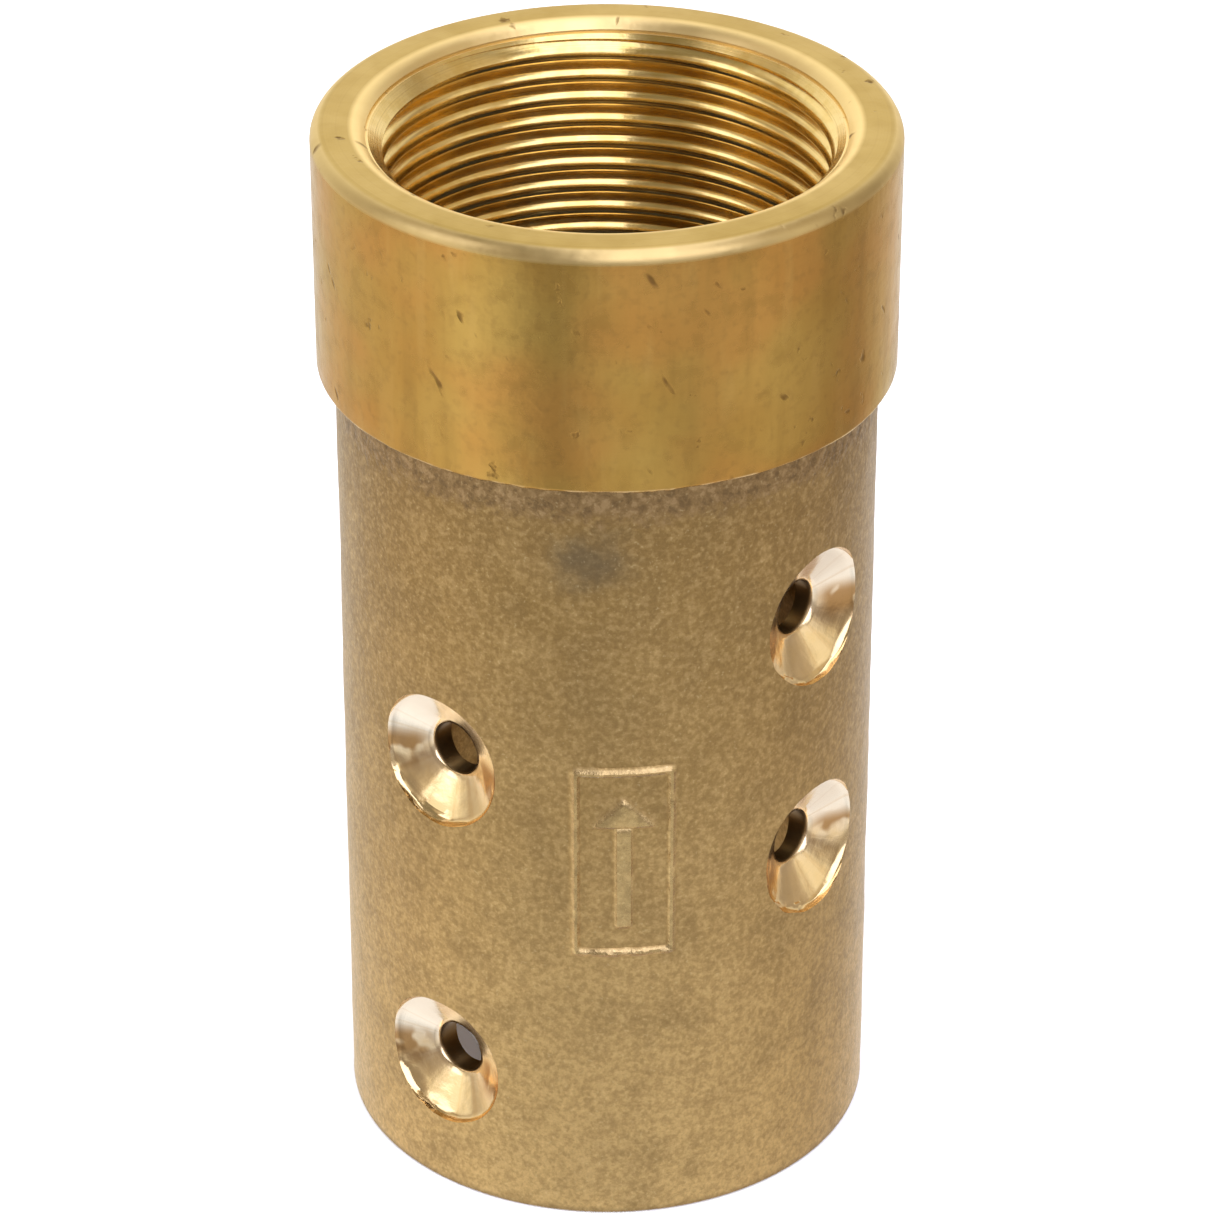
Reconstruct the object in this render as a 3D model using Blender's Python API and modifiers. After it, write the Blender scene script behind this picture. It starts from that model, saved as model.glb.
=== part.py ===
"""Blast hose nozzle holder.

The holder is one brass casting. A blast hose is pushed up into its sleeve and held by screws through
the countersunk holes, and a nozzle screws down into the threaded socket in its collar. A rubber
washer lies in the socket, on the lip between the two, and seals the nozzle.

Metres, +Z up. The origin is the centre of the bottom face, and the front is towards -Y.
"""

import math

import bmesh
import bpy
from mathutils import Vector

MM = 0.001
INCH = 25.4 * MM

# Outer shape
HEIGHT = 100.0 * MM
COLLAR_RADIUS = 25.9 * MM
COLLAR_LENGTH = 22.8 * MM
COLLAR_TOP_ROUND = 0.9 * MM
COLLAR_EDGE_BREAK = 0.35 * MM
SLEEVE_TOP_RADIUS = 24.25 * MM
SLEEVE_BOTTOM_RADIUS = 24.5 * MM
SLEEVE_EDGE_BREAK = 0.3 * MM
FILLET_RADIUS = 0.5 * MM

# Socket: straight pipe thread, 1 1/4 inch, 11.5 turns to the inch, 60 degree flanks
THREAD_PITCH = INCH / 11.5
THREAD_MINOR_RADIUS = 19.6 * MM
THREAD_MAJOR_RADIUS = 21.0 * MM
THREAD_FLANK_ANGLE = math.radians(30)
THREAD_TURNS = 12
THREAD_BOTTOM = 75.2 * MM
MOUTH_RADIUS = 21.9 * MM
RELIEF_RADIUS = 21.3 * MM
RELIEF_STEP = RELIEF_RADIUS - THREAD_MINOR_RADIUS
ROUGH_BORE_RADIUS = 18.9 * MM       # before the thread is cut
GROOVE_AT_BACK = 96.2 * MM          # height of the groove where it passes the back, +Y

# Lip between the socket and the hose bore
LIP_TOP = 71.0 * MM
LIP_BOTTOM = 67.5 * MM
LIP_RADIUS = 15.5 * MM

# Hose bore: sawtooth grip ridges, for a hose of about 39 mm outside
RIDGE_RADIUS = 19.3 * MM
BORE_RADIUS = 19.8 * MM
RIDGE_COUNT = 7
RIDGE_SPACING = 8.0 * MM
FIRST_RIDGE = 7.0 * MM
RIDGE_RISE = 1.0 * MM
BORE_CHAMFER = 1.0 * MM

# Countersunk screw holes: two in each of four columns, a quarter turn apart
DRILL_RADIUS = 6.5 * MM
DRILL_HALF_ANGLE = math.radians(65.4)
DRILL_SHOULDER_DEPTH = 0.85 * MM
SCREW_HOLE_RADIUS = 2.45 * MM
FIRST_COLUMN_ANGLE = math.radians(-39.0)
LOW_COLUMN_HEIGHTS = (13.4 * MM, 46.0 * MM)
HIGH_COLUMN_HEIGHTS = (34.6 * MM, 58.8 * MM)

# Raised flow arrow in a frame, on the front of the sleeve
MARK_ANGLE = math.radians(3.5)
MARK_HEIGHT = 38.7 * MM
FRAME_WIDTH = 9.2 * MM
FRAME_HEIGHT = 19.6 * MM
FRAME_STROKE = 0.6 * MM
ARROW_HEIGHT = 13.6 * MM
ARROW_SHAFT = 1.6 * MM
ARROW_HEAD = 3.0 * MM
MARK_PROUD = 0.4 * MM
MARK_ROOT = 0.5 * MM

# Nozzle washer
WASHER_OUTER_RADIUS = 19.2 * MM
WASHER_INNER_RADIUS = 13.0 * MM
WASHER_THICKNESS = 5.0 * MM
WASHER_EDGE = 0.4 * MM
SEAT_GAP = 0.3 * MM

# Fineness of the round faces
FACETS = 48
HOLE_FACETS = 24
WRAP_STEP = 2.3 * MM
MERGE_DISTANCE = 0.00001
SHARP_ANGLE = math.radians(28)


def new_collection(name):
    collection = bpy.data.collections.new(name)
    bpy.context.scene.collection.children.link(collection)
    return collection


def new_object(name, mesh, collection):
    obj = bpy.data.objects.new(name, mesh)
    collection.objects.link(obj)
    return obj


def new_material(name, colour, metallic, roughness):
    material = bpy.data.materials.new(name)
    material.use_nodes = True
    material.diffuse_color = (*colour, 1.0)
    shader = material.node_tree.nodes["Principled BSDF"]
    shader.inputs["Base Color"].default_value = (*colour, 1.0)
    shader.inputs["Metallic"].default_value = metallic
    shader.inputs["Roughness"].default_value = roughness
    return material


def arc(centre, radius, start, end, steps):
    """Points of an arc in the plane of radius and height, from one angle to another in degrees."""
    angles = [math.radians(start + (end - start) * i / steps) for i in range(steps + 1)]
    return [(centre[0] + radius * math.cos(a), centre[1] + radius * math.sin(a)) for a in angles]


def turned(name, outline, facets, collection, closed=True):
    """Turn (radius, height) points about +Z. An outline that isn't closed starts and ends on the axis."""
    count = len(outline)
    edges = [(i, i + 1) for i in range(count - 1)]
    if closed:
        edges.append((count - 1, 0))
    mesh = bpy.data.meshes.new(name)
    mesh.from_pydata([(radius, 0, height) for radius, height in outline], edges, [])
    obj = new_object(name, mesh, collection)
    screw = obj.modifiers.new("Turn", "SCREW")
    screw.steps = facets
    screw.render_steps = facets
    screw.use_merge_vertices = True
    screw.merge_threshold = MERGE_DISTANCE
    return obj


def evaluated_mesh(obj):
    bpy.context.view_layer.update()
    return bpy.data.meshes.new_from_object(obj.evaluated_get(bpy.context.evaluated_depsgraph_get()))


def settle(obj, material):
    """Turn the modifiers into a plain mesh, shaded smooth up to its edges."""
    mesh = evaluated_mesh(obj)
    obj.modifiers.clear()
    obj.data = mesh
    mesh.shade_smooth()
    mesh.set_sharp_from_angle(angle=SHARP_ANGLE)
    mesh.materials.clear()
    mesh.materials.append(material)


def outward(angle):
    """Unit vector from the axis; the angle is 0 at the front, -Y, and grows towards +X."""
    return Vector((math.sin(angle), -math.cos(angle), 0))


def sleeve_radius(height):
    share = height / (HEIGHT - COLLAR_LENGTH)
    return SLEEVE_BOTTOM_RADIUS + (SLEEVE_TOP_RADIUS - SLEEVE_BOTTOM_RADIUS) * share


def body_outline():
    """Section of the casting, down its outside and back up through the bore."""
    collar_bottom = HEIGHT - COLLAR_LENGTH
    top_round = (COLLAR_RADIUS - COLLAR_TOP_ROUND, HEIGHT - COLLAR_TOP_ROUND)
    fillet = (SLEEVE_TOP_RADIUS + FILLET_RADIUS, collar_bottom - FILLET_RADIUS)
    outside = [
        (MOUTH_RADIUS, HEIGHT),
        *arc(top_round, COLLAR_TOP_ROUND, 90, 0, 3),
        (COLLAR_RADIUS, collar_bottom + COLLAR_EDGE_BREAK),
        (COLLAR_RADIUS - COLLAR_EDGE_BREAK, collar_bottom),
        *arc(fillet, FILLET_RADIUS, 90, 180, 2),
        (SLEEVE_BOTTOM_RADIUS, SLEEVE_EDGE_BREAK),
        (SLEEVE_BOTTOM_RADIUS - SLEEVE_EDGE_BREAK, 0),
    ]
    ridges = []
    for i in range(RIDGE_COUNT):
        crest = FIRST_RIDGE + i * RIDGE_SPACING
        ridges += [(RIDGE_RADIUS, crest), (BORE_RADIUS, crest + RIDGE_RISE)]
    bore = [
        (BORE_RADIUS + BORE_CHAMFER, 0),
        (BORE_RADIUS, BORE_CHAMFER),
        *ridges,
        (BORE_RADIUS, LIP_BOTTOM),
        (LIP_RADIUS, LIP_BOTTOM),
    ]
    socket = [
        (LIP_RADIUS, LIP_TOP),
        (RELIEF_RADIUS, LIP_TOP),
        (RELIEF_RADIUS, THREAD_BOTTOM - RELIEF_STEP),
        (ROUGH_BORE_RADIUS, THREAD_BOTTOM + THREAD_MINOR_RADIUS - ROUGH_BORE_RADIUS),
        (ROUGH_BORE_RADIUS, HEIGHT - MOUTH_RADIUS + ROUGH_BORE_RADIUS),
    ]
    return outside + bore + socket


def close_end(bm, rim, height):
    """Cap an open end with a fan of faces round a point on the axis."""
    middle = bm.verts.new((0, 0, height))
    for edge in rim:
        bm.faces.new((*edge.verts, middle))


def thread_tap(collection):
    """Right-hand screw of the socket's inner shape, from the relief to above the mouth."""
    half_groove = (THREAD_MAJOR_RADIUS - THREAD_MINOR_RADIUS) * math.tan(THREAD_FLANK_ANGLE)
    one_pitch = [
        (THREAD_MINOR_RADIUS, half_groove),
        (THREAD_MAJOR_RADIUS, 0),
        (THREAD_MINOR_RADIUS, -half_groove),
        (THREAD_MINOR_RADIUS, half_groove - THREAD_PITCH),
    ]
    tap = turned("thread_tap", one_pitch, FACETS, collection, closed=False)
    screw = tap.modifiers["Turn"]
    screw.use_merge_vertices = False
    screw.screw_offset = THREAD_PITCH
    screw.iterations = THREAD_TURNS
    mesh = evaluated_mesh(tap)
    bm = bmesh.new()
    bm.from_mesh(mesh)
    bmesh.ops.remove_doubles(bm, verts=bm.verts, dist=MERGE_DISTANCE)
    middle = THREAD_TURNS * THREAD_PITCH / 2
    open_edges = [edge for edge in bm.edges if edge.is_boundary]
    lower = [edge for edge in open_edges if edge.verts[0].co.z < middle]
    upper = [edge for edge in open_edges if edge.verts[0].co.z > middle]
    close_end(bm, lower, 0)
    close_end(bm, upper, THREAD_TURNS * THREAD_PITCH)
    bmesh.ops.recalc_face_normals(bm, faces=bm.faces)
    bm.to_mesh(mesh)
    bm.free()
    tap.modifiers.clear()
    tap.data = mesh
    rise_to_back = THREAD_PITCH / 4
    turns_below = math.ceil((GROOVE_AT_BACK - THREAD_BOTTOM) / THREAD_PITCH)
    tap.location.z = GROOVE_AT_BACK - rise_to_back - turns_below * THREAD_PITCH
    return tap


def screw_hole_cutter(name, angle, height, collection):
    """Broad blunt drill with a thin one below it; local +Z points out of the sleeve."""
    surface = sleeve_radius(height)
    cone_depth = (DRILL_RADIUS - SCREW_HOLE_RADIUS) / math.tan(DRILL_HALF_ANGLE)
    shoulder = surface - DRILL_SHOULDER_DEPTH
    outline = [
        (0, COLLAR_RADIUS + DRILL_RADIUS),
        (DRILL_RADIUS, COLLAR_RADIUS + DRILL_RADIUS),
        (DRILL_RADIUS, shoulder),
        (SCREW_HOLE_RADIUS, shoulder - cone_depth),
        (SCREW_HOLE_RADIUS, LIP_RADIUS),
        (0, LIP_RADIUS),
    ]
    cutter = turned(name, outline, HOLE_FACETS, collection, closed=False)
    cutter.rotation_euler = outward(angle).to_track_quat("Z", "Y").to_euler()
    cutter.location.z = height
    return cutter


def raised(name, outlines, collection):
    """Flat closed outlines filled, thickened and wrapped round the front of the sleeve."""
    curve = bpy.data.curves.new(name, "CURVE")
    curve.dimensions = "2D"
    curve.fill_mode = "BOTH"
    curve.extrude = 0.5
    for outline in outlines:
        spline = curve.splines.new("POLY")
        spline.points.add(len(outline) - 1)
        for point, (across, up) in zip(spline.points, outline):
            point.co = (across, up, 0, 1)
        spline.use_cyclic_u = True
    flat = new_object(name + "_flat", curve, collection)
    mesh = evaluated_mesh(flat)
    bpy.data.objects.remove(flat)
    bm = bmesh.new()
    bm.from_mesh(mesh)
    bmesh.ops.remove_doubles(bm, verts=bm.verts, dist=MERGE_DISTANCE)
    cuts = round(FRAME_WIDTH / WRAP_STEP)
    for i in range(1, cuts):
        across = FRAME_WIDTH * (i / cuts - 0.5)
        every_part = bm.verts[:] + bm.edges[:] + bm.faces[:]
        bmesh.ops.bisect_plane(bm, geom=every_part, plane_co=(across, 0, 0), plane_no=(1, 0, 0))
    for vert in bm.verts:
        height = MARK_HEIGHT + vert.co.y
        surface = sleeve_radius(height)
        radius = surface + (MARK_PROUD if vert.co.z > 0 else -MARK_ROOT)
        vert.co = outward(MARK_ANGLE + vert.co.x / surface) * radius + Vector((0, 0, height))
    bmesh.ops.recalc_face_normals(bm, faces=bm.faces)
    bm.to_mesh(mesh)
    bm.free()
    return new_object(name, mesh, collection)


def rectangle(width, height):
    return [(x * width / 2, y * height / 2) for x, y in ((-1, -1), (1, -1), (1, 1), (-1, 1))]


def arrow():
    """Outline of an arrow that points up, from the hose to the nozzle."""
    tip = ARROW_HEIGHT / 2
    shoulder = tip - ARROW_HEAD
    half_shaft = ARROW_SHAFT / 2
    right = [(half_shaft, -tip), (half_shaft, shoulder), (ARROW_HEAD, shoulder)]
    left = [(-x, y) for x, y in reversed(right)]
    return right + [(0, tip)] + left


def flow_mark(collection):
    inside = rectangle(FRAME_WIDTH - 2 * FRAME_STROKE, FRAME_HEIGHT - 2 * FRAME_STROKE)
    frame = [rectangle(FRAME_WIDTH, FRAME_HEIGHT), inside]
    return [raised("mark_frame", frame, collection), raised("mark_arrow", [arrow()], collection)]


def combine(obj, tool, operation, solver="EXACT"):
    boolean = obj.modifiers.new(tool.name, "BOOLEAN")
    boolean.operation = operation
    boolean.solver = solver
    boolean.object = tool


def hide_tool(obj):
    obj.display_type = "WIRE"
    obj.hide_render = True


def make_holder_body(parts, tools):
    body = turned("holder_body", body_outline(), FACETS, parts)
    cutters = []
    for column in range(4):
        angle = FIRST_COLUMN_ANGLE + column * math.pi / 2
        heights = HIGH_COLUMN_HEIGHTS if column % 2 else LOW_COLUMN_HEIGHTS
        for row, height in enumerate(heights):
            cutters.append(screw_hole_cutter(f"screw_hole_{column}_{row}", angle, height, tools))
    cutters.append(thread_tap(tools))
    marks = flow_mark(tools)
    for cutter in cutters:
        combine(body, cutter, "DIFFERENCE")
    for mark in marks:
        combine(body, mark, "UNION", solver="MANIFOLD")
    for tool in cutters + marks:
        hide_tool(tool)
    settle(body, new_material("brass", (0.58, 0.42, 0.18), 1.0, 0.38))


def make_nozzle_washer(parts):
    """Flat ring with broken edges. Its origin is on the axis, where it slides out of the socket."""
    outer = WASHER_OUTER_RADIUS
    inner = WASHER_INNER_RADIUS
    edge = WASHER_EDGE
    outline = [
        (inner + edge, WASHER_THICKNESS),
        (outer - edge, WASHER_THICKNESS),
        (outer, WASHER_THICKNESS - edge),
        (outer, edge),
        (outer - edge, 0),
        (inner + edge, 0),
        (inner, edge),
        (inner, WASHER_THICKNESS - edge),
    ]
    washer = turned("nozzle_washer", outline, FACETS, parts)
    washer.location.z = LIP_TOP + SEAT_GAP
    settle(washer, new_material("rubber", (0.03, 0.03, 0.032), 0.0, 0.7))


def main():
    for obj in list(bpy.data.objects):
        bpy.data.objects.remove(obj)
    parts = new_collection("blast_hose_nozzle_holder")
    tools = new_collection("cutters")
    make_holder_body(parts, tools)
    make_nozzle_washer(parts)


main()
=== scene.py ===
"""Looks of the blast hose nozzle holder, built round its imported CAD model.

The brass holder is remade as one dense mesh: a turned section with cast unevenness and the raised
flow mark worked into it, then cut by a finely shaped thread tap and by eight countersink drills.
Each face keeps the finish of the tool that made it. The rubber washer is remade as a moulded ring.

Metres, +Z up. The origin is the centre of the bottom face, and the front is towards -Y.
"""

import math

import bmesh
import bpy
import numpy as np
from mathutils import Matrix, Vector, noise


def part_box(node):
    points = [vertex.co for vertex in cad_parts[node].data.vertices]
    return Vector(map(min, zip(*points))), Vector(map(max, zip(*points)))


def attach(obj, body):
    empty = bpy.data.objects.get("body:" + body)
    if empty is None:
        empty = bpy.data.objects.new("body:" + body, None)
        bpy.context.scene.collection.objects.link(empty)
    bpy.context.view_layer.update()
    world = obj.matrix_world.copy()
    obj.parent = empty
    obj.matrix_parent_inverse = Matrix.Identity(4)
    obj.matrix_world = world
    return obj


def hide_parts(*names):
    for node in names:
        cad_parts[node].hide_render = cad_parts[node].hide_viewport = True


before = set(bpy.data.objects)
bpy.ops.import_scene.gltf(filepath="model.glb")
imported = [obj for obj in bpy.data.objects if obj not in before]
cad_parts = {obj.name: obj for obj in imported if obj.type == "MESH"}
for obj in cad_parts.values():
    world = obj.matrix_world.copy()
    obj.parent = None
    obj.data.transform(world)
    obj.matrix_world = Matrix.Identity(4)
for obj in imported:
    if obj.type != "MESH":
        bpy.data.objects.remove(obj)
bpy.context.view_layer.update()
_, holder_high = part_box("holder_body")
cad_height = holder_high.z
cad_radius = holder_high.x

MM = 0.001
INCH = 25.4 * MM

# Outer shape
COLLAR_LENGTH = 22.8 * MM
COLLAR_TOP_ROUND = 1.25 * MM
COLLAR_EDGE_BREAK = 0.35 * MM
SLEEVE_TOP_RADIUS = 24.25 * MM
SLEEVE_BOTTOM_RADIUS = 24.5 * MM
SLEEVE_EDGE_ROUND = 0.3 * MM
FILLET_RADIUS = 0.5 * MM
COLLAR_BURR = 0.16 * MM             # how far the edge under the collar wanders

# Socket: straight pipe thread, 1 1/4 inch, 11.5 turns to the inch, 60 degree flanks
THREAD_PITCH = INCH / 11.5
THREAD_MINOR_RADIUS = 19.6 * MM
THREAD_FLANK_ANGLE = math.radians(30)
THREAD_TURNS = 12
THREAD_BOTTOM = 75.2 * MM
THREAD_ROOT_CUT = 0.08 * MM         # depth lost to the worn tip of the tap
THREAD_CREST_ROUND = 0.84 * MM
MOUTH_RADIUS = 21.9 * MM
MOUTH_ROUND = 2.0 * MM              # edge between the top face and the chamfer
NOTCH_RADIUS = 20.95 * MM           # line left in the chamfer by the facing tool
NOTCH_DEPTH = 0.12 * MM
NOTCH_HALF_WIDTH = 0.13 * MM
RELIEF_RADIUS = 21.3 * MM
RELIEF_STEP = RELIEF_RADIUS - THREAD_MINOR_RADIUS
ROUGH_BORE_RADIUS = 18.9 * MM       # before the thread is cut
GROOVE_AT_BACK = 96.2 * MM          # height of the groove where it passes the back, +Y

# Lip between the socket and the hose bore
LIP_TOP = 71.0 * MM
LIP_BOTTOM = 67.5 * MM
LIP_RADIUS = 15.5 * MM

# Hose bore: sawtooth grip ridges
RIDGE_RADIUS = 19.3 * MM
BORE_RADIUS = 19.8 * MM
RIDGE_COUNT = 7
RIDGE_SPACING = 8.0 * MM
FIRST_RIDGE = 7.0 * MM
RIDGE_RISE = 1.0 * MM
BORE_CHAMFER = 1.0 * MM

# Countersunk screw holes: two in each of four columns, a quarter turn apart
DRILL_RADIUS = 6.5 * MM
DRILL_HALF_ANGLE = math.radians(65.4)
DRILL_SHOULDER_DEPTH = 0.85 * MM
SCREW_HOLE_RADIUS = 2.45 * MM
SCREW_HOLE_BREAK = 0.2 * MM
DRILL_CORNER_ROUND = 0.9 * MM
DRILL_CHATTER = 0.04 * MM           # waves that the blunt drill leaves round the cone
DRILL_LUMPS = 0.16 * MM             # torn metal at the edge where the drill ran out of cut
TORN_SIDE = math.radians(232)       # middle of the torn stretch, anticlockwise from the right
TORN_SPREAD = math.radians(75)
SCREW_HOLE_COLUMNS = 4
FIRST_COLUMN_ANGLE = math.radians(-39.0)
LOW_COLUMN_HEIGHTS = (13.4 * MM, 46.0 * MM)
HIGH_COLUMN_HEIGHTS = (34.6 * MM, 58.8 * MM)

# Raised flow arrow in a frame, on the front of the sleeve
MARK_ANGLE = math.radians(3.5)
MARK_HEIGHT = 38.7 * MM
FRAME_WIDTH = 9.2 * MM
FRAME_HEIGHT = 19.6 * MM
FRAME_STROKE = 0.6 * MM
ARROW_HEIGHT = 13.6 * MM
ARROW_SHAFT = 1.6 * MM
ARROW_HEAD = 3.0 * MM
MARK_PROUD = 0.4 * MM
MARK_EDGE = 0.38 * MM               # width of the soft shoulder of each stroke
MARK_MARGIN = 1.0 * MM              # finely meshed border round the mark

# Nozzle washer
WASHER_WIDTH = 6.2 * MM
WASHER_EDGE = 0.5 * MM
WASHER_DISH = 0.12 * MM             # how far its flat faces sink between their edges
WASHER_WALL = 0.3 * MM              # height of the strip in the middle of its outer wall

# Grey smear on the front of the sleeve, under the collar: x and height in millimetres
SMEAR_PLACE = (-1.2, 69.6)

# Unevenness of the cast skin: (height, size of its hills)
CAST_WAVES = ((0.07 * MM, 9.0 * MM), (0.035 * MM, 2.2 * MM))

# Hills that wear the raised mark and roughen the edge under the collar: (size, seed)
MARK_WEAR = (1.3 * MM, 7)
BURR_FINE = (0.9 * MM, 11)
BURR_BROAD = (3.0 * MM, 12)
BURR_BROAD_SHARE = 0.6

# Fineness of the meshes
COARSE_STEP = 0.95 * MM
PLAIN_STEP = 1.5 * MM
FINE_STEP = 0.25 * MM
TOP_FACE_STEP = 0.8 * MM
BORE_CHAMFER_STEP = 0.5 * MM
RIDGE_STEP = 0.4 * MM
COARSE_COLUMNS = 156
TAP_FACETS = 168
DRILL_FACETS = 90
CONE_STEPS = 8
CORNER_STEPS = 5
CREST_STEPS = 5
MOUTH_STEPS = 6
COLLAR_ROUND_STEPS = 8
SMALL_ROUND_STEPS = 4
FOOT_ROUND_STEPS = 3
WASHER_FACETS = 144
WASHER_EDGE_STEPS = 5
WASHER_DISH_STEPS = 8
MERGE_DISTANCE = 0.01 * MM
SHARP_ANGLE = math.radians(34)

# Finishes, in the order of the holder's material slots
CAST, TURNED, THREADED, DRILLED = range(4)


# ---------------------------------------------------------------- shapes


def outward(angle):
    """Unit vector from the axis; the angle is 0 at the front, -Y, and grows towards +X."""
    return Vector((math.sin(angle), -math.cos(angle), 0))


def arc(centre, radius, start, end, steps):
    """Points of an arc in the plane of radius and height, from one angle to another in degrees."""
    angles = [math.radians(start + (end - start) * i / steps) for i in range(steps + 1)]
    return [(centre[0] + radius * math.cos(a), centre[1] + radius * math.sin(a)) for a in angles]


def run(start, end, step):
    """Evenly spaced points from start up to end, which is left out."""
    count = max(1, round(math.dist(start, end) / step))
    return [tuple(a + (b - a) * i / count for a, b in zip(start, end)) for i in range(count)]


def smooth_step(value, low, high):
    """0 below low, 1 above high, with a soft change between them."""
    share = np.clip((value - low) / (high - low), 0, 1)
    return share * share * (3 - 2 * share)


def sleeve_radius(height):
    share = height / (cad_height - COLLAR_LENGTH)
    return SLEEVE_BOTTOM_RADIUS + (SLEEVE_TOP_RADIUS - SLEEVE_BOTTOM_RADIUS) * share


def sleeve_run(high, low, step):
    return run((sleeve_radius(high), high), (sleeve_radius(low), low), step)


def mouth_edge():
    """Points of the rounded edge where the 45 degree chamfer meets the top face."""
    tangent = MOUTH_ROUND * math.tan(math.radians(22.5))
    centre = (MOUTH_RADIUS + tangent, cad_height - MOUTH_ROUND)
    return arc(centre, MOUTH_ROUND, 135, 90, MOUTH_STEPS)


def outside_section():
    """Stretches of (finish, points) from the mouth, over the collar and down the sleeve."""
    collar_bottom = cad_height - COLLAR_LENGTH
    top_round = (cad_radius - COLLAR_TOP_ROUND, cad_height - COLLAR_TOP_ROUND)
    edge = (cad_radius - COLLAR_EDGE_BREAK, collar_bottom + COLLAR_EDGE_BREAK)
    fillet = (SLEEVE_TOP_RADIUS + FILLET_RADIUS, collar_bottom - FILLET_RADIUS)
    sleeve_edge = (SLEEVE_BOTTOM_RADIUS - SLEEVE_EDGE_ROUND, SLEEVE_EDGE_ROUND)
    mark_top = MARK_HEIGHT + FRAME_HEIGHT / 2 + MARK_MARGIN
    mark_bottom = MARK_HEIGHT - FRAME_HEIGHT / 2 - MARK_MARGIN
    return [
        (TURNED, run(mouth_edge()[-1], (top_round[0], cad_height), TOP_FACE_STEP)),
        (TURNED, arc(top_round, COLLAR_TOP_ROUND, 90, 0, COLLAR_ROUND_STEPS)[:-1]),
        (TURNED, run((cad_radius, top_round[1]), (cad_radius, edge[1]), PLAIN_STEP)),
        (TURNED, arc(edge, COLLAR_EDGE_BREAK, 0, -90, SMALL_ROUND_STEPS)),
        (CAST, arc(fillet, FILLET_RADIUS, 90, 180, SMALL_ROUND_STEPS)[:-1]),
        (CAST, sleeve_run(fillet[1], mark_top, COARSE_STEP)),
        (CAST, sleeve_run(mark_top, mark_bottom, FINE_STEP)),
        (CAST, sleeve_run(mark_bottom, sleeve_edge[1], COARSE_STEP)),
        (CAST, arc(sleeve_edge, SLEEVE_EDGE_ROUND, 0, -90, FOOT_ROUND_STEPS)[:-1]),
    ]


def inside_section():
    """Stretches of (finish, points) across the bottom and up through the hose bore and the socket."""
    foot_outer = (SLEEVE_BOTTOM_RADIUS - SLEEVE_EDGE_ROUND, 0)
    foot_inner = (BORE_RADIUS + BORE_CHAMFER, 0)
    stretches = [
        (TURNED, run(foot_outer, foot_inner, PLAIN_STEP)),
        (TURNED, run(foot_inner, (BORE_RADIUS, BORE_CHAMFER), BORE_CHAMFER_STEP)),
    ]
    root = (BORE_RADIUS, BORE_CHAMFER)
    for i in range(RIDGE_COUNT):
        crest = (RIDGE_RADIUS, FIRST_RIDGE + i * RIDGE_SPACING)
        next_root = (BORE_RADIUS, crest[1] + RIDGE_RISE)
        stretches.append((CAST, run(root, crest, PLAIN_STEP)))
        stretches.append((CAST, run(crest, next_root, RIDGE_STEP)))
        root = next_root
    relief_top = (RELIEF_RADIUS, THREAD_BOTTOM - RELIEF_STEP)
    rough_bottom = (ROUGH_BORE_RADIUS, THREAD_BOTTOM + THREAD_MINOR_RADIUS - ROUGH_BORE_RADIUS)
    rough_top = (ROUGH_BORE_RADIUS, cad_height - MOUTH_RADIUS + ROUGH_BORE_RADIUS)
    mouth = mouth_edge()[:-1]
    notch_height = cad_height - MOUTH_RADIUS + NOTCH_RADIUS
    notch = [
        (NOTCH_RADIUS - NOTCH_HALF_WIDTH, notch_height - NOTCH_HALF_WIDTH),
        (NOTCH_RADIUS + NOTCH_DEPTH, notch_height - NOTCH_DEPTH),
        (NOTCH_RADIUS + NOTCH_HALF_WIDTH, notch_height + NOTCH_HALF_WIDTH),
    ]
    corners = [
        (BORE_RADIUS, LIP_BOTTOM),
        (LIP_RADIUS, LIP_BOTTOM),
        (LIP_RADIUS, LIP_TOP),
        (RELIEF_RADIUS, LIP_TOP),
        relief_top,
        rough_bottom,
        rough_top,
        *notch,
        mouth[0],
    ]
    stretches.append((CAST, run(root, corners[0], PLAIN_STEP)))
    for start, end in zip(corners, corners[1:]):
        finish = THREADED if start == rough_top else TURNED
        stretches.append((finish, run(start, end, PLAIN_STEP)))
    stretches.append((TURNED, mouth))
    return stretches


def column_angles():
    """Angles of the mesh's columns, anticlockwise from the mark's left edge."""
    half_zone = (FRAME_WIDTH / 2 + MARK_MARGIN) / SLEEVE_TOP_RADIUS
    fine_columns = round(2 * half_zone * SLEEVE_TOP_RADIUS / FINE_STEP)
    fine = np.linspace(-half_zone, half_zone, fine_columns + 1)
    coarse = np.linspace(half_zone, 2 * math.pi - half_zone, COARSE_COLUMNS + 1)[1:-1]
    return MARK_ANGLE + np.concatenate([fine, coarse])


def box_distance(across, up, half_width, half_height):
    """Distance to the edge of an upright rectangle, negative inside it."""
    beside = np.abs(across) - half_width
    above = np.abs(up) - half_height
    outside = np.hypot(np.maximum(beside, 0), np.maximum(above, 0))
    return outside + np.minimum(np.maximum(beside, above), 0)


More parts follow.
